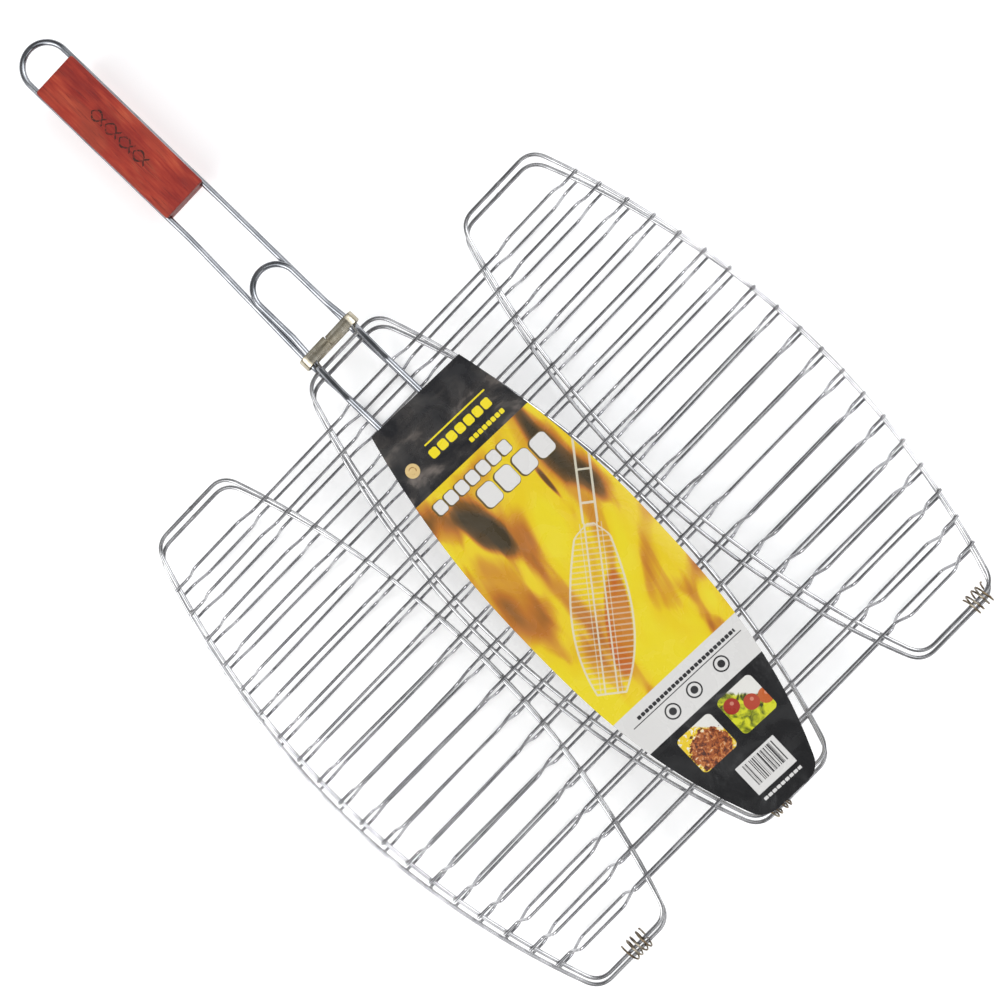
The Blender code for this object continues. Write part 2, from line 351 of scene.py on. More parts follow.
def rounded(points, cut, steps=8):
    """The path through the points, with each inner corner turned into a bend."""
    points = [np.array(point, float) for point in points]
    path = [points[0][None, :]]
    for before, corner, after in zip(points, points[1:], points[2:]):
        back = min(cut, 0.48 * np.linalg.norm(before - corner))
        ahead = min(cut, 0.48 * np.linalg.norm(after - corner))
        start = corner + unit(before - corner) * back
        end = corner + unit(after - corner) * ahead
        path.append(bend(start, corner, end, steps))
    path.append(points[-1][None, :])
    return np.concatenate(path)


def divided(path, spacing, closed=False):
    """The path with long straight runs cut into pieces of about the spacing."""
    ends = np.roll(path, -1, axis=0) if closed else path[1:]
    fine = []
    for start, end in zip(path, ends):
        pieces = max(1, math.ceil(np.linalg.norm(end - start) / spacing))
        for piece in range(pieces):
            fine.append(start + (end - start) * piece / pieces)
    if not closed:
        fine.append(path[-1])
    return np.array(fine)


def capped(path, radius):
    """The path and its radii, with both ends eased as a cut and tumbled wire's are."""
    ease = ((0.0, 0.62), (0.16, 0.86), (0.42, 0.98))
    first = unit(path[1] - path[0])
    last = unit(path[-2] - path[-1])
    head = np.array([path[0] + first * radius * run for run, _ in ease])
    tail = np.array([path[-1] + last * radius * run for run, _ in reversed(ease)])
    whole = np.concatenate([head, path[1:-1], tail])
    radii = np.full(len(whole), radius)
    for i, (_, share) in enumerate(ease):
        radii[i] = radius * share
        radii[-1 - i] = radius * share
    return whole, radii


def waves(rng, length, size, shortest, longest):
    """Smooth small offsets along a wire, in metres."""
    offset = np.zeros_like(length)
    for _ in range(3):
        period = rng.uniform(shortest, longest)
        phase = rng.uniform(0, 2 * math.pi)
        offset += size / 3 * np.sin(2 * math.pi * length / period + phase)
    return offset


def add_weld(pile, rng, centre, across, along, up):
    """A squashed bead of metal where two wires are welded."""
    rings, around = 5, 12
    points = []
    for ring in range(1, rings):
        tilt = math.pi * ring / rings
        for i in range(around):
            turn = 2 * math.pi * i / around
            swell = 1 + 0.10 * math.sin(2 * turn + centre[1] * 900)
            x = across * swell * math.sin(tilt) * math.cos(turn)
            y = along * swell * math.sin(tilt) * math.sin(turn)
            points.append((x, y, up * math.cos(tilt)))
    points = np.array(points) * rng.uniform(0.88, 1.12) + np.asarray(centre)
    faces = ring_faces(rings - 1, around, closed=False)
    pile.add(points, faces, np.full(len(points), rng.uniform(0.35, 0.9)))


# The basket's shapes


def half_width(along, widest):
    half_length = 0.5 * LOBE_LENGTH
    sagitta = widest - END_HALF
    radius = (half_length ** 2 + sagitta ** 2) / (2 * sagitta)
    return widest - radius + math.sqrt(radius ** 2 - (half_length - along) ** 2)


def lobe_centre(side, along):
    return side * (NEAR_PITCH + (FAR_PITCH - NEAR_PITCH) * along / LOBE_LENGTH)


def bar_along(number):
    return FIRST_BAR if number == 1 else SECOND_BAR + BAR_PITCH * (number - 2)


def lobe_outline(widest):
    """One lobe's frame as (across, along), from its near end's middle round and back."""
    steps = 40
    runs = np.linspace(CORNER_CUT, LOBE_LENGTH - CORNER_CUT, steps)
    side = np.array([(half_width(along, widest), along) for along in runs])
    inner = END_HALF - CORNER_CUT
    near_run = np.linspace((0.0, 0.0), (inner, 0.0), 14)[:-1]
    near = bend(np.array((inner, 0.0)), np.array((END_HALF, 0.0)), side[0], 12)
    far_end = np.array((inner, LOBE_LENGTH))
    far = bend(side[-1], np.array((END_HALF, LOBE_LENGTH)), far_end, 12)
    far_run = np.linspace(far_end, (0.0, LOBE_LENGTH), 7)[1:]
    right = np.concatenate([near_run, near[:-1], side, far[1:], far_run])
    left = right[1:-1][::-1] * (-1, 1)
    return np.concatenate([right, left])


def frame_radii(outline):
    """The wire's thickness: a raised ring of flash at the butt weld of the near end."""
    near = outline[:, 1] < 0.001
    away = np.abs(outline[:, 0] - FLASH_X)
    flash = np.where(near, np.exp(-((away / FLASH_REACH) ** 2)), 0.0)
    return FRAME_R * (1 + FLASH_RISE * flash)


def add_frames(rng, word, half, materials):
    body = word + "_half"
    for lobe, side in LOBES.items():
        outline = divided(lobe_outline(half["width"]), 0.003, closed=True)
        count = len(outline)
        turn = np.arange(count) / count
        centre = np.array([lobe_centre(side, along) for along in outline[:, 1]])
        path = np.empty((count, 3))
        path[:, 0] = half["x"] + centre + outline[:, 0]
        path[:, 1] = half["near_y"] - outline[:, 1]
        path[:, 2] = MID_Z + half["up"] * FRAME_Z
        for cycles in (2, 3, 5):
            path[:, 0] += FRAME_SWAY * np.sin(2 * math.pi * (cycles * turn + rng.random()))
        hot = [weld_place(half, lobe, number, hand)
               for number in range(1, BARS + 1) for hand in (-1, 1)]
        joint = (half["x"] + lobe_centre(side, 0.0), half["near_y"], path[0, 2])
        pile = Pile()
        sweep(pile, path, frame_radii(outline), 14, Z_AXIS, closed=True,
              hot_spots=hot + [joint], reach=0.0022)
        name = f"{word}_frame_{lobe}"
        frame_wire = pile.build(name + "_wire", materials["frame"])
        hand_over(frame_wire, body, "basket_wire", name)


def weld_place(half, lobe, number, hand):
    """Where a bar crosses one side of a lobe's frame."""
    along = bar_along(number)
    across = hand * half_width(along, half["width"])
    x = half["x"] + lobe_centre(LOBES[lobe], along) + across
    level = 0.5 * (FRAME_Z + FRAME_R + BAR_Z - BAR_R)
    return (x, half["near_y"] - along, MID_Z + half["up"] * level)


def bar_profile(half, along):
    width = half_width(along, half["width"])
    outer = lobe_centre(1, along) + width + FRAME_R + BAR_OVERHANG
    level = width - LEVEL_RUN
    raised = level - SLOPE_RUN
    profile = [(-outer, BAR_Z)]
    for side in LOBES.values():
        centre = lobe_centre(side, along)
        profile.append((centre - level, BAR_Z))
        profile.append((centre - raised, RAISED_Z))
        profile.append((centre + raised, RAISED_Z))
        profile.append((centre + level, BAR_Z))
    profile.append((outer, BAR_Z))
    y = half["near_y"] - along
    return [(half["x"] + x, y, MID_Z + half["up"] * z) for x, z in profile]


def add_bars(rng, word, half, materials):
    pile = Pile()
    for number in range(1, BARS + 1):
        path = rounded(bar_profile(half, bar_along(number)), BAR_BEND)
        path = divided(path, 0.004)
        path[:, 1] += waves(rng, path[:, 0], *BAR_SWAY)
        path[:, 2] += waves(rng, path[:, 0], *BAR_RIPPLE)
        hot = [weld_place(half, lobe, number, hand) for lobe in LOBES for hand in (-1, 1)]
        path, radii = capped(path, BAR_R)
        sweep(pile, path, radii, 10, Y_AXIS, hot_spots=hot, reach=0.0024)
    bars = pile.build(word + "_cross_bars", materials["bar"])
    nodes = [f"{word}_bar_{number:02d}" for number in range(1, BARS + 1)]
    hand_over(bars, word + "_half", "basket_wire", *nodes)


def add_welds(rng, word, half, materials):
    """Beads where the bars cross the frames, and where they cross the handle's rods."""
    pile = Pile()
    for number in range(1, BARS + 1):
        for lobe in LOBES:
            for hand in (-1, 1):
                place = weld_place(half, lobe, number, hand)
                add_weld(pile, rng, place, *BAR_WELD)
    level = 0.5 * (RAISED_Z + BAR_R + ROD_RAISED_Z - ROD_R)
    for number in range(1, WELDED_BARS + 1):
        for x in rod_xs(word):
            place = (x, half["near_y"] - bar_along(number), MID_Z + half["up"] * level)
            add_weld(pile, rng, place, *ROD_WELD)
    welds = pile.build(word + "_weld_beads", materials["weld"])
    hand_over(welds, word + "_half", "basket_wire")


def rod_xs(word):
    middle = UPPER_X if word == "upper" else 0.0
    return (middle - WELDED_HALF, middle + WELDED_HALF)


def handle_path(bends, half, tip):
    """One rod, the round tip and the other rod back, about the middle."""
    rod = rounded(bends, ROD_BEND)
    straight = np.linspace(rod[-1], (half, NEAR_Y + tip - half, rod[-1][2]), 30)[1:]
    angles = np.linspace(0.0, math.pi, 41)[1:-1]
    arc = np.empty((len(angles), 3))
    arc[:, 0] = half * np.cos(angles)
    arc[:, 1] = NEAR_Y + tip - half + half * np.sin(angles)
    arc[:, 2] = rod[-1][2]
    side = divided(np.concatenate([rod, straight]), 0.003)
    return np.concatenate([side, arc, side[::-1] * (-1, 1, 1)])


def add_handles(materials):
    low = -ROD_RAISED_Z
    long_bends = [
        (WELDED_HALF, NEAR_Y + ROD_END - HALVES_SHIFT, low),
        (WELDED_HALF, NEAR_Y - HALVES_SHIFT - RAMP_END, low),
        (WELDED_HALF, NEAR_Y + CLASP_SIDE, -ROD_Z),
        (WELDED_HALF, NEAR_Y + CLASP_PAST, -ROD_Z),
        (LOOP_HALF, NEAR_Y + SPREAD_START, -ROD_Z),
        (LOOP_HALF, NEAR_Y + SPREAD_START + SPREAD_RUN, -ROD_Z),
    ]
    long_path = handle_path(long_bends, LOOP_HALF, LOOP_TIP)
    share = np.clip((long_path[:, 1] - NEAR_Y) / SPREAD_START, 0.0, 1.0)
    long_path[:, 0] += UPPER_X * share
    short_bends = [
        (WELDED_HALF, NEAR_Y + ROD_END, ROD_RAISED_Z),
        (WELDED_HALF, NEAR_Y - RAMP_END, ROD_RAISED_Z),
        (WELDED_HALF, NEAR_Y + CLASP_SIDE - RISER_RUN, RISER_Z),
        (WELDED_HALF, NEAR_Y + CLASP_SIDE, ROD_Z),
        (SHORT_HALF + SHORT_TAPER, NEAR_Y + CLASP_PAST, ROD_Z),
        (SHORT_HALF, NEAR_Y + CLASP_PAST + SHORT_SPREAD, ROD_Z),
    ]
    short_path = handle_path(short_bends, SHORT_HALF, SHORT_TIP)
    short_path[:, 0] += UPPER_X
    for word, node, path in (("lower", "long_handle", long_path),
                             ("upper", "short_handle", short_path)):
        half = HALVES[word]
        path[:, 2] += MID_Z
        hot = [(x, half["near_y"] - bar_along(number), MID_Z + half["up"] * ROD_RAISED_Z)
               for number in range(1, WELDED_BARS + 1) for x in rod_xs(word)]
        path, radii = capped(path, ROD_R)
        pile = Pile()
        sweep(pile, path, radii, 24, Z_AXIS, hot_spots=hot, reach=0.0052)
        rod = pile.build(node + "_rod", materials["rod"])
        hand_over(rod, word + "_half", "handle_wire", node)


def grip_section():
    """The grip's section as (across, up): flat faces, round edges, a groove each side."""
    steps = 6
    edge = []
    for step in range(steps + 1):
        angle = 0.5 * math.pi * step / steps
        edge.append((GRIP_HALF_WIDTH - GRIP_EDGE + GRIP_EDGE * math.sin(angle),
                     -GRIP_HALF_DEPTH + GRIP_EDGE - GRIP_EDGE * math.cos(angle)))
    inset = LOOP_HALF - GRIP_HALF_WIDTH
    half_angle = math.acos(inset / GROOVE_R)
    groove = []
    for angle in np.linspace(math.pi + half_angle, math.pi - half_angle, 13):
        groove.append((LOOP_HALF + GROOVE_R * math.cos(angle), GROOVE_R * math.sin(angle)))
    side = edge + groove + [(x, -z) for x, z in reversed(edge)]
    flat = [(x, GRIP_HALF_DEPTH) for x in np.linspace(0.9, -0.9, 9) * GRIP_HALF_WIDTH]
    left = [(-x, -z) for x, z in side]
    return np.array(side + flat + left + [(-x, -z) for x, z in flat])


def add_grip(materials):
    section = grip_section()
    ends = ((0.0, 0.93), (0.00025, 0.965), (0.0006, 0.985), (0.0012, 1.0))
    stations = [(GRIP_NEAR + run, scale) for run, scale in ends]
    for along in np.linspace(GRIP_NEAR + 0.004, GRIP_FAR - 0.004, 24):
        stations.append((along, 1.0))
    stations += [(GRIP_FAR - run, scale) for run, scale in reversed(ends)]
    points = []
    for along, scale in stations:
        for x, z in section:
            points.append((UPPER_X + scale * x, NEAR_Y + along, MID_Z - ROD_Z + scale * z))
    faces = ring_faces(len(stations), len(section), closed=False)
    grip = build_mesh("grip_wood", points, faces, materials["wood"])
    keep_creases(grip, 35)
    hand_over(grip, "lower_half", "stained_wood", "wood_grip")


def keep_creases(obj, degrees):
    """Edges sharper than this stay sharp under smooth shading."""
    obj.data.set_sharp_from_angle(angle=math.radians(degrees))


def clasp_line():
    """(x, z) and outward (x, z) round the flat ring, from one side of the seam on."""
    middle = CLASP_OUTER_R - 0.5 * CLASP_SHEET
    line = []
    for side in (1, -1):
        flat = np.linspace(0.5 * CLASP_SEAM if side == 1 else -CLASP_ARC_X, CLASP_ARC_X, 12)
        for x in flat[:-1]:
            line.append(((side * x, side * middle), (0.0, side)))
        for angle in np.linspace(0.5 * math.pi, -0.5 * math.pi, 25):
            out = (side * math.cos(angle), side * math.sin(angle))
            line.append(((side * CLASP_ARC_X + out[0] * middle, out[1] * middle), out))
    for x in np.linspace(-CLASP_ARC_X, -0.5 * CLASP_SEAM, 12)[1:]:
        line.append(((x, middle), (0.0, 1.0)))
    return line


def add_clasp(materials):
    """The strip bent into a ring, a little hollow between the rods, its ends askew."""
    line = clasp_line()
    half_sheet = 0.5 * CLASP_SHEET
    half_length = 0.5 * CLASP_LENGTH
    round_edge = ((1, -1, 0.70), (1, -0.86, 1.0), (1, 0.0, 1.0), (1, 0.86, 1.0),
                  (1, 1, 0.70), (-1, 1, 0.70), (-1, 0.86, 1.0), (-1, -0.86, 1.0),
                  (-1, -1, 0.70))
    points = []
    for i, ((x, z), (out_x, out_z)) in enumerate(line):
        skew = CLASP_SKEW * (i / (len(line) - 1) - 0.5)
        dip = -CLASP_HOLLOW * max(0.0, 1 - (x / CLASP_ARC_X) ** 2) * out_z
        for off, y, share in round_edge:
            lift = off * half_sheet * share
            points.append((CLASP_X + x + out_x * lift, CLASP_Y + y * half_length + skew,
                           MID_Z + z + dip * abs(out_z) + out_z * lift))
    faces = ring_faces(len(line), len(round_edge), closed=False)
    clasp = build_mesh("clasp_ring", points, faces, materials["clasp"])
    keep_creases(clasp, 40)
    hand_over(clasp, "clasp", "clasp_sheet", "slide_clasp")


def add_springs(materials):
    per_turn = 28
    count = SPRING_TURNS * per_turn
    for lobe, side in LOBES.items():
        middle = lobe_centre(side, LOBE_LENGTH) + SPRING_OFFSET[lobe]
        turn = np.arange(count + 1) / count
        spread = turn - 0.5 + 0.030 * np.sin(4 * math.pi * turn + side)
        angle = 2 * math.pi * SPRING_TURNS * turn
        radius = SPRING_R * (1 - 0.03 * np.cos(3 * math.pi * turn) ** 2)
        path = np.empty((count + 1, 3))
        path[:, 0] = middle + SPRING_LENGTH * spread
        path[:, 1] = NEAR_Y - LOBE_LENGTH - SPRING_BACK + radius * np.cos(angle)
        path[:, 2] = MID_Z + radius * np.sin(angle)
        path, radii = capped(path, SPRING_WIRE_R)
        pile = Pile()
        sweep(pile, path, radii, 10, X_AXIS, hot_spots=[path[0], path[-1]], reach=0.006)
        node = f"hinge_spring_{lobe}"
        coil = pile.build(node + "_coil", materials["spring"])
        hand_over(coil, "lower_half", "spring_wire", node)


def card_half_width(along):
    if along < CARD_WIDEST:
        fraction = (CARD_WIDEST - along) / (CARD_WIDEST - CARD_NEAR)
        return CARD_HALF_WIDE - (CARD_HALF_WIDE - CARD_HALF_NEAR) * fraction ** 2
    fraction = (along - CARD_WIDEST) / (CARD_FAR - CARD_WIDEST)
    half = CARD_HALF_WIDE - (CARD_HALF_WIDE - CARD_HALF_FAR) * fraction ** CARD_TAPER
    into_corner = (along - (CARD_FAR - CARD_CORNER_BACK)) / CARD_CORNER_BACK
    if into_corner > 0:
        half -= CARD_CORNER_IN * (1 - math.sqrt(max(0.0, 1 - into_corner ** 2)))
    return half


def card_level(along):
    high = ROD_RAISED_Z + ROD_R + CARD_CLEAR
    low = RAISED_Z + BAR_R + CARD_CLEAR
    fraction = (along + ROD_END) / (CARD_FAR + ROD_END)
    return high + (low - high) * fraction


def add_card(materials):
    """The card as a thin closed sheet, gently wavy, standing clear of the wires."""
    rows, columns = 150, 44
    sheet = []
    for row in range(rows + 1):
        fraction = row / rows
        own_along = CARD_NEAR + (CARD_FAR - CARD_NEAR) * (1 - (1 - fraction) ** 1.15)
        for column in range(columns + 1):
            own_across = card_half_width(own_along) * (2 * column / columns - 1)
            back = own_along - CARD_PIVOT
            cos, sin = math.cos(CARD_TURN), math.sin(CARD_TURN)
            across = CARD_PIVOT_X + own_across * cos - back * sin
            along = CARD_PIVOT + back * cos + own_across * sin
            wave = 1 + 0.6 * math.sin(along * 55 + across * 22)
            wave += 0.4 * math.sin(across * 120 - along * 31)
            curl = max(0.0, abs(own_across) - CARD_CURL_FROM) ** 2 * CARD_CURL
            z = card_level(along) + CARD_WAVE * 0.5 * wave + curl
            sheet.append((UPPER_X + across, NEAR_Y - along, MID_Z + z))
    wide = columns + 1
    size = len(sheet)
    points = [(x, y, z + CARD_SHEET) for x, y, z in sheet] + sheet
    faces = []
    for row in range(rows):
        for column in range(columns):
            a = row * wide + column
            b = a + wide
            faces.append([a, b, b + 1, a + 1])
            faces.append([size + a, size + a + 1, size + b + 1, size + b])
    edge = list(range(wide))
    edge += [row * wide + columns for row in range(1, rows + 1)]
    edge += [rows * wide + column for column in reversed(range(columns))]
    edge += [row * wide for row in reversed(range(1, rows))]
    for a, b in zip(edge, edge[1:] + edge[:1]):
        faces.append([a, b, size + b, size + a])
    card = build_mesh("card_sheet", points, faces, materials["card"])
    printed = card.data.attributes.new("printed", "FLOAT", "POINT")
    printed.data.foreach_set("value", np.repeat((1.0, 0.0), size).astype(np.float32))
    keep_creases(card, 50)
    hand_over(card, "upper_half", "printed_card", "printed_card")


# Materials


class Value:
    """A number that varies over a surface, built from shader nodes as it is written."""

    def __init__(self, tree, socket):
        self.tree = tree
        self.socket = socket

    def math(self, operation, *others, clamp=False):
        node = self.tree.nodes.new("ShaderNodeMath")
        node.operation = operation
        node.use_clamp = clamp
        for socket, value in zip(node.inputs, (self, *others)):
            plug(self.tree, value, socket)
        return Value(self.tree, node.outputs[0])

    def __add__(self, other):
        return self.math("ADD", other)

    def __sub__(self, other):
        return self.math("SUBTRACT", other)

    def __mul__(self, other):
        return self.math("MULTIPLY", other)

    def inverse(self):
        return self * -1.0 + 1.0

    def ramp(self, start, end):
        """0 before start, 1 after end, smooth between; end may lie below start."""
        node = self.tree.nodes.new("ShaderNodeMapRange")
        node.interpolation_type = "SMOOTHSTEP"
        low, high = (start, end) if start < end else (end, start)
        node.inputs["From Min"].default_value = low
        node.inputs["From Max"].default_value = high
        node.inputs["To Min"].default_value = 0.0 if start < end else 1.0
        node.inputs["To Max"].default_value = 1.0 if start < end else 0.0
        plug(self.tree, self, node.inputs["Value"])
        return Value(self.tree, node.outputs[0])

    def band(self, low, high, edge):
        """1 between low and high, 0 outside."""
        return self.ramp(low - edge, low + edge) * self.ramp(high + edge, high - edge)


def plug(tree, value, socket):
    if isinstance(value, Value):
        tree.links.new(value.socket, socket)
    else:
        socket.default_value = value


class Finish:
    """One material, with short names for the nodes that the looks are made of."""

    def __init__(self, name):
        self.material = bpy.data.materials.new(name)
        self.material.use_nodes = True
        self.tree = self.material.node_tree
        self.shader = self.tree.nodes["Principled BSDF"]
        places = self.tree.nodes.new("ShaderNodeTexCoord")
        self.place = places.outputs["Object"]
        split = self.tree.nodes.new("ShaderNodeSeparateXYZ")
        self.tree.links.new(self.place, split.inputs[0])
        self.x, self.y, self.z = (Value(self.tree, out) for out in split.outputs)

    def constants(self, **values):
        for name, value in values.items():
            self.shader.inputs[name.replace("_", " ")].default_value = value

    def vector(self, x, y, z):
        node = self.tree.nodes.new("ShaderNodeCombineXYZ")
        for value, socket in zip((x, y, z), node.inputs):
            plug(self.tree, value, socket)
        return node.outputs[0]

    def noise(self, scale, stretch=(1, 1, 1), detail=3.0, distortion=0.0, place=None):
        mapping = self.tree.nodes.new("ShaderNodeMapping")
        mapping.inputs["Scale"].default_value = stretch
        self.tree.links.new(place or self.place, mapping.inputs["Vector"])
        node = self.tree.nodes.new("ShaderNodeTexNoise")
        node.inputs["Scale"].default_value = scale
        node.inputs["Detail"].default_value = detail
        node.inputs["Distortion"].default_value = distortion
        self.tree.links.new(mapping.outputs[0], node.inputs["Vector"])
        return Value(self.tree, node.outputs[0])

    def attribute(self, name):
        node = self.tree.nodes.new("ShaderNodeAttribute")
        node.attribute_name = name
        return Value(self.tree, node.outputs["Fac"])

    def mix(self, share, under, over):
        """The under colour, turning into the over colour as share goes to 1."""
        node = self.tree.nodes.new("ShaderNodeMix")
        node.data_type = "RGBA"
        plug(self.tree, share, node.inputs["Factor"])
        for colour, socket in ((under, node.inputs[6]), (over, node.inputs[7])):
            if isinstance(colour, tuple):
                socket.default_value = (*colour, 1.0)
            else:
                self.tree.links.new(colour, socket)
        return node.outputs[2]

    def colours(self, value, stops):
        """A colour for each value, through (value, colour) stops."""
        node = self.tree.nodes.new("ShaderNodeValToRGB")
        marks = node.color_ramp.elements
        while len(marks) < len(stops):
            marks.new(0.5)
        for mark, (place, colour) in zip(marks, stops):
            mark.position = place
            mark.color = (*colour, 1.0)
        plug(self.tree, value, node.inputs[0])
        return node.outputs[0]

    def paint(self, colour):
        self.tree.links.new(colour, self.shader.inputs["Base Color"])

    def rough(self, value):
        plug(self.tree, value, self.shader.inputs["Roughness"])

    def bump(self, height, distance):
        node = self.tree.nodes.new("ShaderNodeBump")
        node.inputs["Distance"].default_value = distance
        plug(self.tree, height, node.inputs["Height"])
        self.tree.links.new(node.outputs[0], self.shader.inputs["Normal"])


def wire_finish(name, bright, dull, roughness, heat_share):
    """Bright plated wire: cloudy plating, fine dark specks, browned beside welds."""
    finish = Finish(name)
    finish.constants(Metallic=1.0)
    cloud = finish.noise(70, detail=4.0)
    speck = finish.noise(900, detail=2.0)
    plating = finish.mix(cloud.ramp(0.35, 0.68), dull, bright)
    plating = finish.mix(speck.ramp(0.66, 0.76) * 0.5, plating, (0.20, 0.19, 0.18))
    ragged = finish.attribute("heat") + (finish.noise(420, detail=3.0) - 0.5) * 0.7
    heat = ragged.math("MULTIPLY", heat_share, clamp=True)
    tint = finish.colours(heat, [
        (0.0, (0.80, 0.78, 0.74)),
        (0.35, (0.62, 0.45, 0.25)),
        (0.62, (0.30, 0.15, 0.07)),
        (0.85, (0.10, 0.09, 0.12)),
    ])
    finish.paint(finish.mix(heat.ramp(0.10, 0.55), plating, tint))
    finish.rough(cloud.ramp(0.3, 0.75) * 0.12 + heat * 0.25 + roughness)
    finish.bump(speck * 0.5 + cloud, 0.00006)
    return finish.material


def spring_finish():
    """Dark spring wire with an oxide skin that is worn bright in places."""
    finish = Finish("spring_wire_dark")
    finish.constants(Metallic=1.0)
    cloud = finish.noise(260, detail=4.0)
    worn = finish.noise(120, detail=2.0).ramp(0.52, 0.64)
    skin = finish.colours(cloud, [
        (0.30, (0.055, 0.040, 0.028)),
        (0.52, (0.16, 0.115, 0.070)),
        (0.70, (0.28, 0.22, 0.14)),
    ])
    finish.paint(finish.mix(worn * 0.6, skin, (0.48, 0.44, 0.36)))
    finish.rough(cloud * 0.25 + 0.20)
    finish.bump(cloud, 0.00008)
    return finish.material


def clasp_finish():
    """Brushed sheet: long fine lines round the strip, smudged and browned plating."""
    finish = Finish("clasp_sheet_brushed")
    finish.constants(Metallic=1.0, Anisotropic=0.55)
    lines = finish.noise(420, stretch=(0.03, 1.6, 0.03), detail=5.0)
    smudge = finish.noise(110, detail=3.0, distortion=0.6)
    sheet = finish.colours(smudge, [
        (0.30, (0.36, 0.31, 0.22)),
        (0.50, (0.50, 0.45, 0.35)),
        (0.72, (0.66, 0.62, 0.53)),
    ])
    finish.paint(finish.mix(lines.ramp(0.40, 0.72) * 0.35, sheet, (0.80, 0.77, 0.70)))
    finish.rough(lines * 0.16 + smudge * 0.10 + 0.13)
    finish.bump(lines, 0.00005)
    return finish.material


def burnt_fish(finish):
    """A row of plain fish outlines burnt into the top of the grip."""
    across = finish.x - UPPER_X
    along = finish.y - (NEAR_Y + 0.5 * (GRIP_NEAR + GRIP_FAR))
    step = (along * (1 / FISH_PITCH)).math("FRACT")
    own = (step - 0.57) * FISH_PITCH
    beside = across.math("ABSOLUTE")
    body = (beside + own * own * 190.0 - 0.0033).band(-FISH_STROKE, FISH_STROKE, 0.0001)
    body = body * own.math("ABSOLUTE").ramp(FISH_NOSE, FISH_NOSE - 0.0003)
    tail = (beside + own + 0.0036).band(-FISH_STROKE, FISH_STROKE, 0.0001)
    tail = tail * (own * -1.0).band(0.0041, 0.0064, 0.0001)
    end = FISH_EACH_WAY * FISH_PITCH
    row = along.math("ABSOLUTE").ramp(end, end - 0.0001)
    uneven = finish.noise(500, detail=3.0).ramp(0.30, 0.55)
    top = finish.z.ramp(MID_Z, MID_Z + 0.0005)
    return (body + tail).math("MINIMUM", 1.0) * row * uneven * top


def wood_finish():
    """Red-stained hardwood: streaky grain along the grip, pores, darker end grain."""
    finish = Finish("grip_wood_stained")
    finish.constants(Coat_Weight=0.04, Coat_Roughness=0.35, Specular_IOR_Level=0.25)
    warp = finish.noise(22, stretch=(1, 0.35, 1), detail=2.0)
    bent = finish.vector(finish.x + warp * 0.006, finish.y, finish.z + warp * 0.004)
    broad = finish.noise(130, stretch=(1, 0.22, 1), detail=4.0, place=bent)
    fine = finish.noise(800, stretch=(1, 0.080, 1), detail=4.0, place=bent)
    pores = finish.noise(1700, stretch=(1, 0.030, 1), detail=1.0, place=bent)
    blotch = finish.noise(60, stretch=(1, 0.45, 1), detail=2.0)
    grain = broad * 0.62 + fine * 0.38
    stain = finish.colours(grain, [
        (0.30, (0.18, 0.013, 0.010)),
        (0.45, (0.27, 0.024, 0.016)),
        (0.56, (0.36, 0.041, 0.022)),
        (0.70, (0.46, 0.088, 0.040)),
    ])
    stain = finish.mix(blotch.ramp(0.48, 0.68) * 0.35, stain, (0.38, 0.080, 0.040))
    stain = finish.mix(blotch.ramp(0.50, 0.32) * 0.50, stain, (0.16, 0.012, 0.013))
    stain = finish.mix(pores.ramp(0.62, 0.72) * 0.5, stain, (0.09, 0.010, 0.010))
    ends = finish.y.ramp(NEAR_Y + GRIP_NEAR + 0.0005, NEAR_Y + GRIP_NEAR + 0.0001)
    ends = ends + finish.y.ramp(NEAR_Y + GRIP_FAR - 0.0005, NEAR_Y + GRIP_FAR - 0.0001)
    stain = finish.mix(burnt_fish(finish) * 0.95, stain, (0.030, 0.012, 0.009))
    finish.paint(finish.mix(ends * 0.7, stain, (0.17, 0.045, 0.035)))
    finish.rough(fine * 0.25 + blotch * 0.12 + 0.33)
    finish.bump(fine * 0.5 + pores.ramp(0.72, 0.60) * 0.5 + broad * 0.3, 0.00025)
    return finish.material


def box_mask(across, along, middle, half, corner):
    """1 inside a rectangle with round corners on the card, given in metres."""
    out = []
    for place, centre, reach in zip((across, along), middle, half):
        beyond = (place - centre).math("ABSOLUTE") - (reach - corner)
        out.append(beyond.math("MAXIMUM", 0.0))
    distance = (out[0] * out[0] + out[1] * out[1]).math("SQRT")
    return distance.ramp(corner + 0.00015, corner - 0.00015)


def ring_mask(across, along, middle, radius, stroke):
    a = across - middle[0]
    b = along - middle[1]
    distance = (a * a + b * b).math("SQRT")
    return distance.band(radius - stroke, radius + stroke, 0.00015)


def block_row(across, along, middle, half, pitch, extra=0.0):
    """A row of plain blocks with round corners, or one plain rule where pitch is 0."""
    if not pitch:
        return box_mask(across, along, middle, half, min(half) * 0.9)
    step = (across - (middle[0] - half[0])) * (1 / pitch)
    within = (step.math("FRACT") - 0.5) * pitch
    block = (0.42 * pitch + extra, half[1])
    row = box_mask(within, along, (0.0, middle[1]), block, min(block) * 0.55)
    ends = (across - middle[0]).math("ABSOLUTE")
    return row * ends.ramp(half[0] + 0.0001, half[0] - 0.0001)


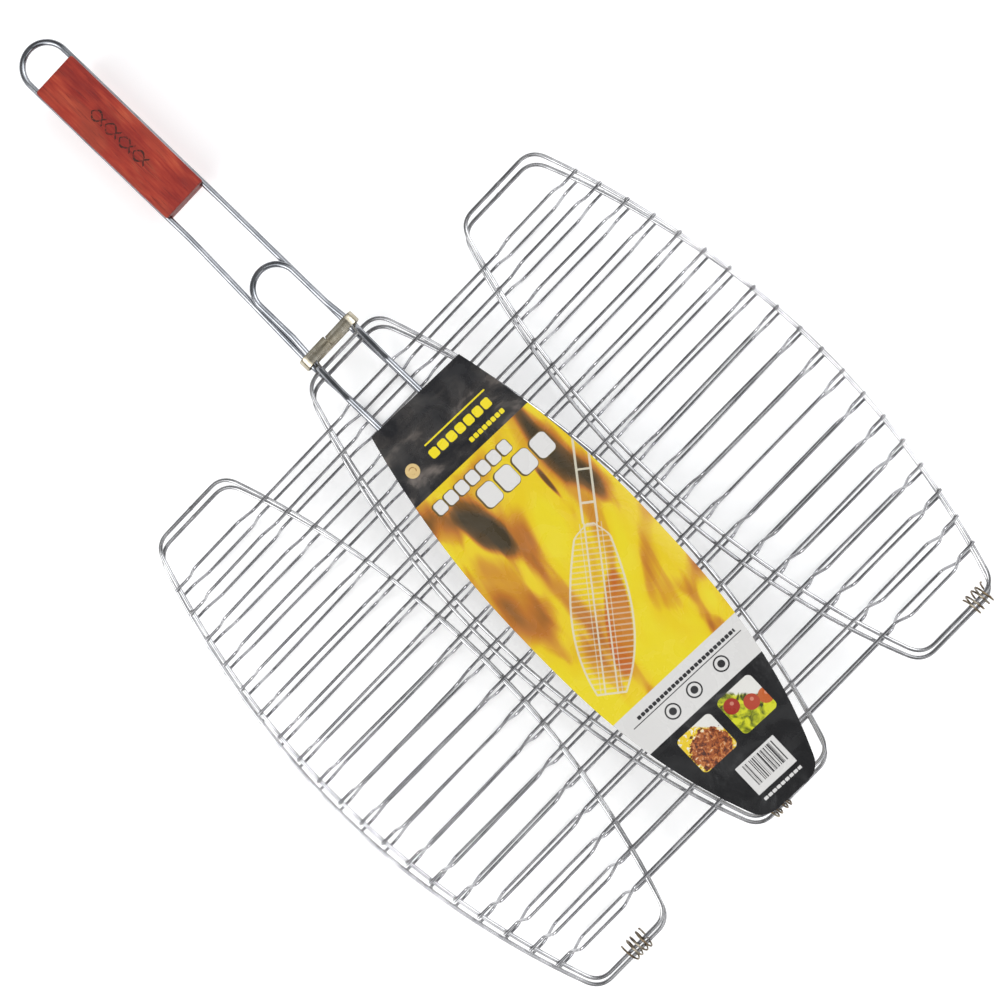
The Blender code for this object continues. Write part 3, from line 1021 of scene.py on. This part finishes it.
def flames(finish, across, along):
    """Yellow fire: broad tongues that lick towards the handle."""
    place = finish.vector(across + along * 0.25, along * 0.45, 0.0)
    broad = finish.noise(17, detail=1.5, distortion=1.9, place=place)
    lick = finish.noise(48, stretch=(1, 0.5, 1), detail=3.0, distortion=1.0, place=place)
    sway = (finish.noise(26, detail=1.0, place=place) - 0.5) * 0.034
    level = broad * 0.84 + lick * 0.16 + 0.052
    for middle, reach, depth in FLAME_GAPS:
        b = (along - middle[1]) * (1 / reach[1])
        a = (across + sway - middle[0]) * (1 / reach[0]) * (b * 0.40 + 1.05)
        away = (a * a + b * b).math("SQRT") + (lick - 0.5) * 1.1
        level = level - away.ramp(1.25, 0.45) * depth
    return finish.colours(level, [
        (0.24, (0.040, 0.026, 0.008)),
        (0.35, (0.16, 0.070, 0.012)),
        (0.41, (0.42, 0.140, 0.014)),
        (0.455, (0.56, 0.27, 0.012)),
        (0.50, (0.69, 0.50, 0.008)),
        (0.60, (0.70, 0.57, 0.012)),
    ])


def basket_drawing(finish, across, along, colour):
    """A simple outline of a fish basket, drawn across the flames."""
    a = across - DRAWN_PLACE[0]
    b = along - DRAWN_PLACE[1]
    down = a * DRAWN_WAY[0] + b * DRAWN_WAY[1]
    beside = a * DRAWN_WAY[1] - b * DRAWN_WAY[0]
    side = beside.math("ABSOLUTE")
    length = DRAWN_LENGTH
    share = down * (1 / length)
    bulge = share * share.inverse() * (share * 0.022 + 0.028)
    edge = bulge + down.ramp(-0.004, 0.010) * 0.0085
    outline = (side - edge).band(-0.0006, 0.0006, 0.0002)
    inside = (side - edge).ramp(0.0, -0.0004)
    within = down.band(0.0, length, 0.0003)
    wires = (down * (1 / 0.0034)).math("FRACT").band(0.36, 0.64, 0.06) * inside
    spine = side.band(0.0033, 0.0043, 0.0002) + side.band(0.0062, 0.0068, 0.0002) * 0.6
    rods = side.band(0.0036, 0.0050, 0.0002) * down.band(-0.058, 0.0, 0.0003)
    between = side.ramp(0.0050, 0.0046)
    rods = rods + down.band(-0.0130, -0.0115, 0.0002) * between
    rods = rods + down.band(-0.0330, -0.0318, 0.0002) * between
    ends = down.band(0.0, 0.0012, 0.0002) + down.band(length - 0.0012, length, 0.0002)
    strokes = (outline + wires * 0.55 + spine + ends * inside) * within + rods
    strokes = strokes.math("MINIMUM", 1.0)
    right = (beside - 0.0095) * (1 / 0.0085)
    belly = (down - 0.6 * length) * (1 / (0.34 * length))
    meat = (right * right + belly * belly).ramp(1.1, 0.7) * inside * within * 0.80
    colour = finish.mix(meat, colour, (0.42, 0.07, 0.008))
    return finish.mix(strokes * 0.85, colour, (0.62, 0.58, 0.46))


def salad_picture(finish, across, along):
    """Leaves under three round tomatoes, with a pale plate in one corner."""
    leaf = finish.noise(170, detail=4.0, distortion=1.0)
    salad = finish.colours(leaf, [
        (0.38, (0.035, 0.045, 0.003)),
        (0.48, (0.25, 0.28, 0.006)),
        (0.60, (0.55, 0.56, 0.015)),
    ])
    plate = (across - along + (leaf - 0.5) * 0.010).ramp(0.0070, 0.0100)
    salad = finish.mix(plate, salad, PLATE_WHITE)
    for middle, red in TOMATOES:
        salad = finish.mix(ring_mask(across, along, middle, 0.0, TOMATO_RADIUS), salad, red)
        glint = (middle[0] + GLINT, middle[1] - GLINT)
        salad = finish.mix(ring_mask(across, along, glint, 0.0, GLINT) * 0.5, salad,
                           (0.70, 0.35, 0.25))
    return salad


def steak_picture(finish, across, along):
    """A browned steak on yellow sauce, with a pale plate in one corner."""
    crust = finish.noise(420, detail=3.0, distortion=0.8)
    steak = finish.colours(crust, [
        (0.36, (0.06, 0.012, 0.004)),
        (0.48, (0.28, 0.060, 0.010)),
        (0.60, (0.48, 0.17, 0.04)),
        (0.72, (0.70, 0.55, 0.40)),
    ])
    sauce = finish.mix(crust.ramp(0.56, 0.66), (0.70, 0.50, 0.02), (0.72, 0.70, 0.60))
    sauce = finish.mix((across - along).ramp(0.0125, 0.0145), sauce, PLATE_WHITE)
    off = along - 0.0044
    away = (across * across + off * off).math("SQRT") + (crust - 0.5) * 0.010
    return finish.mix(away.ramp(0.0136, 0.0126), sauce, steak)


def header_print(finish, across, along, smoke):
    """Smoke with rows of blocks and a small round seal."""
    streaks = finish.noise(120, stretch=(0.25, 1.0, 1.0), detail=4.0, distortion=0.5)
    header = finish.colours(smoke * 0.7 + streaks * 0.3, [
        (0.44, (0.006, 0.006, 0.008)),
        (0.56, (0.030, 0.027, 0.026)),
        (0.68, (0.16, 0.135, 0.12)),
    ])
    for row in HEADER_ROWS:
        header = finish.mix(block_row(across, along, *row), header, PRINT_YELLOW)
    seal = ring_mask(across, along, SEAL_PLACE, 0.0, SEAL_RADIUS)
    header = finish.mix(seal, header, (0.62, 0.45, 0.20))
    grain = finish.noise(300, detail=3.0).ramp(0.4, 0.6)
    stamp = ring_mask(across, along, SEAL_PLACE, STAMP_RADIUS, STAMP_STROKE)
    return finish.mix(stamp * grain, header, (0.30, 0.16, 0.05))


def fire_print(finish, across, along):
    """Flames with a drawn basket and two rows of pale blocks with dark rims."""
    fire = flames(finish, across, along)
    fire = basket_drawing(finish, across, along, fire)
    for middle, half, pitch in FIRE_ROWS:
        rim = tuple(size + FIRE_ROW_RIM for size in half)
        shade = block_row(across, along, middle, rim, pitch, 0.0007)
        fire = finish.mix(shade, fire, (0.10, 0.07, 0.02))
        blocks = block_row(across, along, middle, half, pitch)
        fire = finish.mix(blocks, fire, (0.64, 0.63, 0.62))
    return fire


def band_print(finish, across, along):
    """A white band with a row of blocks, a rule and three plain rings."""
    rule = box_mask(across, along, *BAND_RULE, 0.0002)
    band = finish.mix(rule, PRINT_WHITE, PRINT_INK)
    band = finish.mix(block_row(across, along, *BAND_ROW), band, PRINT_INK)
    for middle in RING_PLACES:
        ring = ring_mask(across, along, middle, RING_RADIUS, RING_STROKE)
        band = finish.mix(ring, band, PRINT_INK)
        dot = ring_mask(across, along, middle, RING_DOT, RING_DOT)
        band = finish.mix(dot, band, PRINT_INK)
    return band


def foot_print(finish, across, along, smoke):
    """Black with two pictures, a striped label and a row of blocks."""
    foot = finish.mix(smoke.ramp(0.56, 0.80), (0.005, 0.005, 0.006), (0.05, 0.05, 0.052))
    for picture, middle in ((salad_picture, SALAD_PLACE), (steak_picture, STEAK_PLACE)):
        shape = box_mask(across, along, middle, PICTURE_HALF, PICTURE_CORNER)
        own = (across - middle[0], along - middle[1])
        foot = finish.mix(shape, foot, picture(finish, *own))
    foot = finish.mix(block_row(across, along, *FOOT_ROW), foot, PRINT_WHITE)
    foot = finish.mix(box_mask(across, along, *LABEL, 0.0004), foot, PRINT_WHITE)
    stripes = finish.noise(900, stretch=(1.0, 0.0, 0.0), detail=1.0,
                           place=finish.vector(across, 0.0, 0.0))
    marks = stripes.ramp(0.49, 0.52) * box_mask(across, along, *LABEL_STRIPES, 0.0002)
    return finish.mix(marks, foot, PRINT_INK)


def card_finish():
    """Glossy print: smoky header, fire, a white band and a dark foot with pictures."""
    finish = Finish("card_print")
    finish.constants(Coat_Weight=0.5, Coat_Roughness=0.12)
    back = finish.y * -1.0 + (NEAR_Y - CARD_PIVOT)
    aside = finish.x - (UPPER_X + CARD_PIVOT_X)
    cos, sin = math.cos(CARD_TURN), math.sin(CARD_TURN)
    along = back * cos - aside * sin + CARD_PIVOT
    across = aside * cos + back * sin
    smoke = finish.noise(38, detail=4.0, distortion=1.2)
    art = header_print(finish, across, along, smoke)
    for starts, part in ((FIRE_STARTS, fire_print(finish, across, along)),
                         (BAND_STARTS, band_print(finish, across, along)),
                         (FOOT_STARTS, foot_print(finish, across, along, smoke))):
        art = finish.mix(along.ramp(starts - PRINT_EDGE, starts + PRINT_EDGE), art, part)
    printed = finish.attribute("printed").ramp(0.4, 0.6)
    finish.paint(finish.mix(printed, CARD_BACK, art))
    scuff = finish.noise(55, detail=4.0, distortion=0.8)
    finish.rough(scuff.ramp(0.35, 0.70) * 0.16 + 0.20)
    finish.bump(scuff, 0.0006)
    return finish.material


def floor_finish():
    finish = Finish("floor_white")
    finish.constants(Roughness=0.9, Emission_Color=(1, 1, 1, 1), Emission_Strength=0.28)
    cloud = finish.noise(1.5, detail=1.0)
    finish.paint(finish.mix(cloud, (0.86, 0.86, 0.87), (0.88, 0.88, 0.88)))
    return finish.material


# Studio


def add_floor():
    around = 96
    points = []
    for i in range(around):
        angle = 2 * math.pi * i / around
        points.append((FLOOR_R * math.cos(angle), FLOOR_R * math.sin(angle), FLOOR_Z))
    floor = build_mesh("floor", points, [list(range(around))], floor_finish())


def add_light(name, place, size, power, colour):
    light = bpy.data.lights.new(name, "AREA")
    light.shape = "RECTANGLE"
    light.size, light.size_y = size
    light.energy = power
    light.color = colour
    lamp = bpy.data.objects.new(name, light)
    lamp.location = place
    lamp.rotation_euler = (-Vector(place)).to_track_quat("-Z", "Y").to_euler()
    bpy.context.scene.collection.objects.link(lamp)


def add_studio():
    """A bright banner from side to side, with a dim gap overhead, as in a light tent."""
    world = bpy.data.worlds.new("studio")
    bpy.context.scene.world = world
    world.use_nodes = True
    tree = world.node_tree
    place = tree.nodes.new("ShaderNodeTexCoord")
    split = tree.nodes.new("ShaderNodeSeparateXYZ")
    tree.links.new(place.outputs["Generated"], split.inputs[0])
    x, y, z = (Value(tree, out) for out in split.outputs)
    banner = x.math("ABSOLUTE").band(0.20, 0.93, 0.05) * y.band(-0.34, 0.34, 0.10)
    sky = banner * z.ramp(0.10, 0.25) * BANNER_LIGHT + z.ramp(0.10, -0.05) * 0.35
    plug(tree, sky + DIM_SKY, tree.nodes["Background"].inputs["Strength"])
    tree.nodes["Background"].inputs["Color"].default_value = (0.985, 0.995, 1.0, 1.0)
    add_light("softbox_left", (-1.5, 0.2, 1.25), (1.3, 0.9), 14, (1.0, 0.99, 0.97))
    add_light("softbox_right", (1.5, -0.3, 1.15), (1.3, 0.9), 11, (0.97, 0.985, 1.0))
    add_light("softbox_far", (0.1, -1.7, 1.3), (1.2, 0.8), 5, (1.0, 1.0, 1.0))


def add_camera():
    camera = bpy.data.cameras.new("camera")
    camera.lens = CAMERA_LENS
    camera.sensor_width = 36.0
    camera.clip_start = 0.01
    eye = bpy.data.objects.new("camera", camera)
    eye.location = CAMERA_PLACE
    eye.rotation_euler = [math.radians(angle) for angle in CAMERA_TURN]
    bpy.context.scene.collection.objects.link(eye)
    bpy.context.scene.camera = eye


def main():
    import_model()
    rng = np.random.default_rng(SEED)
    add_camera()
    materials = {
        "frame": wire_finish("frame_wire", (0.54, 0.54, 0.55), (0.36, 0.36, 0.37), 0.13, 0.55),
        "bar": wire_finish("bar_wire", (0.52, 0.52, 0.535), (0.36, 0.36, 0.375), 0.12, 0.8),
        "rod": wire_finish("rod_wire", (0.35, 0.36, 0.385), (0.22, 0.23, 0.25), 0.13, 1.0),
        "weld": wire_finish("weld_metal", (0.50, 0.50, 0.50), (0.34, 0.34, 0.34), 0.28, 0.7),
        "spring": spring_finish(),
        "clasp": clasp_finish(),
        "wood": wood_finish(),
        "card": card_finish(),
    }
    for word, half in HALVES.items():
        add_frames(rng, word, half, materials)
        add_bars(rng, word, half, materials)
        add_welds(rng, word, half, materials)
    add_handles(materials)
    add_grip(materials)
    add_clasp(materials)
    add_springs(materials)
    add_card(materials)
    add_floor()
    add_studio()
    bpy.context.scene.view_settings.view_transform = "Standard"


main()
